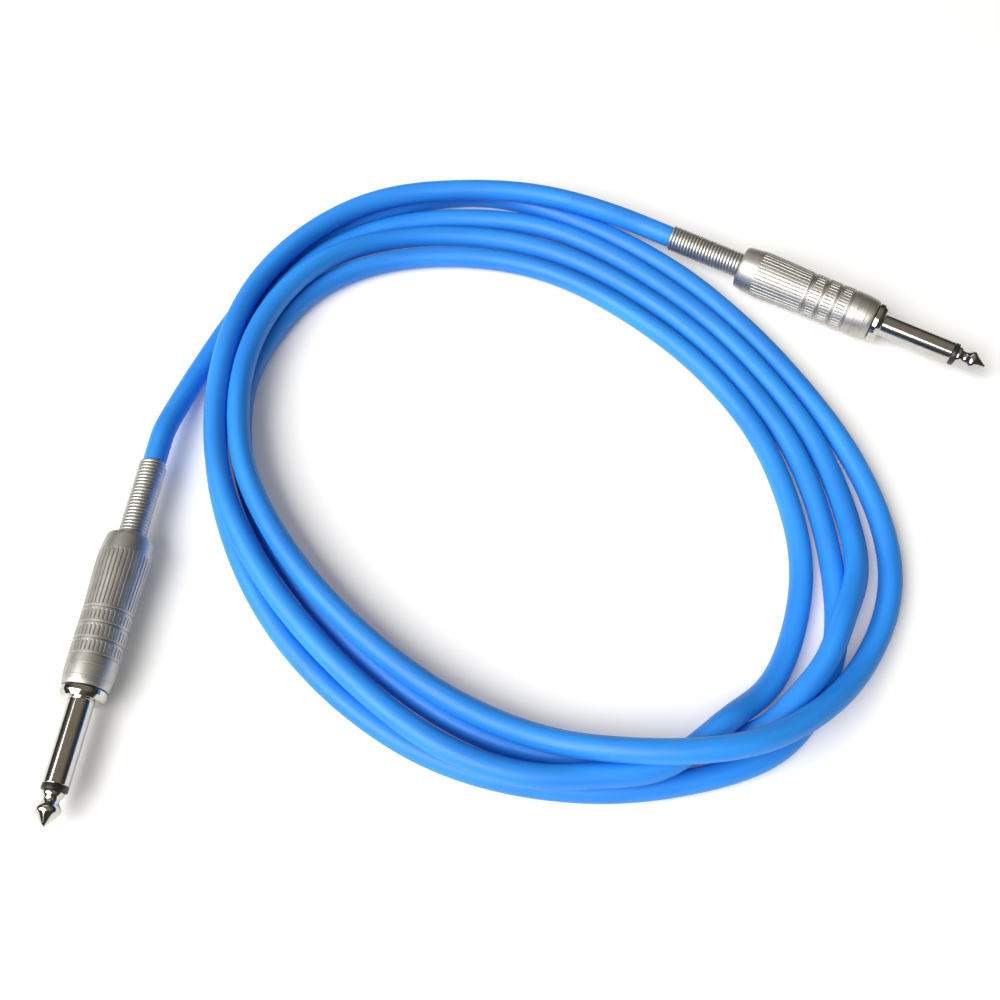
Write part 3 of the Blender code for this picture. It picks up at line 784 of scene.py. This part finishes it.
def paint_node(node, material):
    """Give a CAD node its finished material, with grain taken from its own coordinates."""
    obj = frame["nodes"][node]
    mesh = obj.data
    points = np.empty(len(mesh.vertices) * 3, np.float32)
    mesh.vertices.foreach_get("co", points)
    layer = mesh.attributes.get("grain") or mesh.attributes.new("grain", "FLOAT_VECTOR", "POINT")
    layer.data.foreach_set("vector", points / MM)
    mesh.materials.clear()
    mesh.materials.append(material)


def inner_pieces(side):
    """The pieces inside a plug keep their frame shapes and take finished materials."""
    for node, material in INNER_LOOKS.items():
        paint_node(side + "_" + node, material)


# ---- stage -----------------------------------------------------------------------------------

def area_light(name, place, size, power):
    """A rectangular light that faces the middle of the floor."""
    light = bpy.data.lights.new(name, "AREA")
    light.shape = "RECTANGLE"
    light.size, light.size_y = size
    light.energy = power
    obj = bpy.data.objects.new(name, light)
    obj.location = place
    obj.rotation_euler = (-Vector(place)).to_track_quat("-Z", "Y").to_euler()
    bpy.context.scene.collection.objects.link(obj)


def floor():
    """A pale table with a faint glow of its own, fading into the backdrop far away."""
    half = FLOOR_HALF
    mesh = bpy.data.meshes.new("floor")
    mesh.from_pydata([(-half, -half, 0), (half, -half, 0), (half, half, 0), (-half, half, 0)],
                     [], [(0, 1, 2, 3)])
    obj = bpy.data.objects.new("floor", mesh)
    obj.location.z = -0.0001
    bpy.context.scene.collection.objects.link(obj)
    paint = Paint("floor", Roughness=0.7, Specular_IOR_Level=0.2)
    paint.feed("Base Color", (0.88, 0.88, 0.88, 1.0))
    paint.feed("Emission Color", (1.0, 1.0, 1.0, 1.0))
    place = paint.add("TexCoord")
    reach = paint.add("VectorMath", (("operation", "LENGTH"),), Vector=place.outputs["Object"])
    fade = paint.remap(reach.outputs["Value"], 0.0, 0.65, *FLOOR_FADE)
    glow = paint.add("Math", (("operation", "MULTIPLY_ADD"),))
    paint.set(glow.inputs[0], fade)
    paint.set(glow.inputs[1], paint.add("LightPath").outputs["Is Camera Ray"])
    paint.set(glow.inputs[2], FLOOR_GLOW)
    paint.feed("Emission Strength", glow.outputs["Value"])
    mesh.materials.append(paint.material)


def room():
    """A dim warm room, darker towards the walls than overhead, behind a pale backdrop."""
    world = bpy.data.worlds.new("room")
    bpy.context.scene.world = world
    world.use_nodes = True
    tree = world.node_tree
    place = tree.nodes.new("ShaderNodeTexCoord")
    split = tree.nodes.new("ShaderNodeSeparateXYZ")
    ramp = tree.nodes.new("ShaderNodeValToRGB")
    ramp.color_ramp.elements[0].position = 0.45
    ramp.color_ramp.elements[0].color = ROOM_WALL
    ramp.color_ramp.elements[1].position = 0.85
    ramp.color_ramp.elements[1].color = ROOM_CEILING
    tree.links.new(place.outputs["Generated"], split.inputs["Vector"])
    tree.links.new(split.outputs["Z"], ramp.inputs["Fac"])
    tree.links.new(ramp.outputs["Color"], tree.nodes["Background"].inputs["Color"])
    backdrop = tree.nodes.new("ShaderNodeBackground")
    backdrop.inputs["Color"].default_value = BACKDROP
    rays = tree.nodes.new("ShaderNodeLightPath")
    choice = tree.nodes.new("ShaderNodeMixShader")
    tree.links.new(rays.outputs["Is Camera Ray"], choice.inputs[0])
    tree.links.new(tree.nodes["Background"].outputs["Background"], choice.inputs[1])
    tree.links.new(backdrop.outputs["Background"], choice.inputs[2])
    tree.links.new(choice.outputs["Shader"], tree.nodes["World Output"].inputs["Surface"])


def stage(shift):
    """Floor, room, lights, and the camera, which moves with the cable onto the frame."""
    floor()
    room()
    for name, place, size, power in LIGHTS:
        area_light(name, place, size, power)
    camera = bpy.data.cameras.new("camera")
    camera.lens = CAMERA_LENS
    camera.sensor_width = 36.0
    obj = bpy.data.objects.new("camera", camera)
    obj.location = (Vector(CAMERA_PLACE) + Vector(shift)) * MM
    obj.rotation_euler = (math.radians(CAMERA_TILT), 0.0, 0.0)
    bpy.context.scene.collection.objects.link(obj)
    bpy.context.scene.camera = obj


# ---- everything together ---------------------------------------------------------------------

JACKET = blue_pvc()
HOUSING_METAL = worn_metal("satin_nickel", (0.56, 0.545, 0.51), (0.45, 0.435, 0.40), 0.46,
                           (0.5, 0.5, 9.0), 0.004)
POLISHED_METAL = worn_metal("bright_nickel", (0.60, 0.58, 0.54), (0.52, 0.50, 0.46), 0.10,
                            (0.4, 0.4, 6.0), 0.0012)
SPRING_METAL = worn_metal("spring_wire", (0.58, 0.57, 0.545), (0.48, 0.47, 0.445), 0.42,
                          (1.5, 1.5, 3.0), 0.003)
BRASS = worn_metal("tinned_brass", (0.80, 0.74, 0.58), (0.66, 0.58, 0.42), 0.30,
                   (2.0, 2.0, 2.0), 0.004)
COPPER = worn_metal("copper", (0.86, 0.46, 0.30), (0.60, 0.30, 0.18), 0.30,
                    (4.0, 4.0, 1.0), 0.01)
SOLDER = worn_metal("solder", (0.70, 0.70, 0.72), (0.52, 0.52, 0.54), 0.28,
                    (1.5, 1.5, 1.5), 0.02)
BLACK = plain_plastic("black_insulator", (0.014, 0.014, 0.015), 0.35)
WHITE = plain_plastic("white_plastic", (0.80, 0.80, 0.77), 0.45)
FIBRE = plain_plastic("fibre_board", (0.30, 0.16, 0.08), 0.75, 0.35)
LINER = plain_plastic("clear_liner", (0.72, 0.74, 0.73), 0.25)
INNER_LOOKS = {
    "insulating_tube": WHITE, "rear_washer": FIBRE, "ground_lug": BRASS, "tip_lug": BRASS,
    "rod_rivet": BRASS, "cover_tube": LINER, "core_insulation": WHITE,
    "centre_conductor": COPPER, "braid_pigtail": COPPER, "tip_solder": SOLDER,
    "ground_solder": SOLDER,
}

cable = settle(resample(spline(control_points()), PATH_STEP))
# The frame has its own origin, so the cable is moved onto the frame's left swing axis
left_swing = resample(cable, 1.0, TAIL_LENGTH, TAIL_LENGTH + 1.0)[0]
shift = joint_point("left_tail_swing") - left_swing
cable = cable + shift
fine = spline(cable, FINE_PARTS)
coil_skin(fine)
for side, plug, line in (("left", LEFT_PLUG, fine), ("right", RIGHT_PLUG, fine[::-1])):
    tail_skins(side, plug, line)
    housing(side)
    sleeve_contact(side)
    tip_contact(side)
    insulator_ring(side)
    strain_relief_spring(side)
    inner_pieces(side)
stage(shift)
bpy.context.scene.view_settings.view_transform = "Standard"
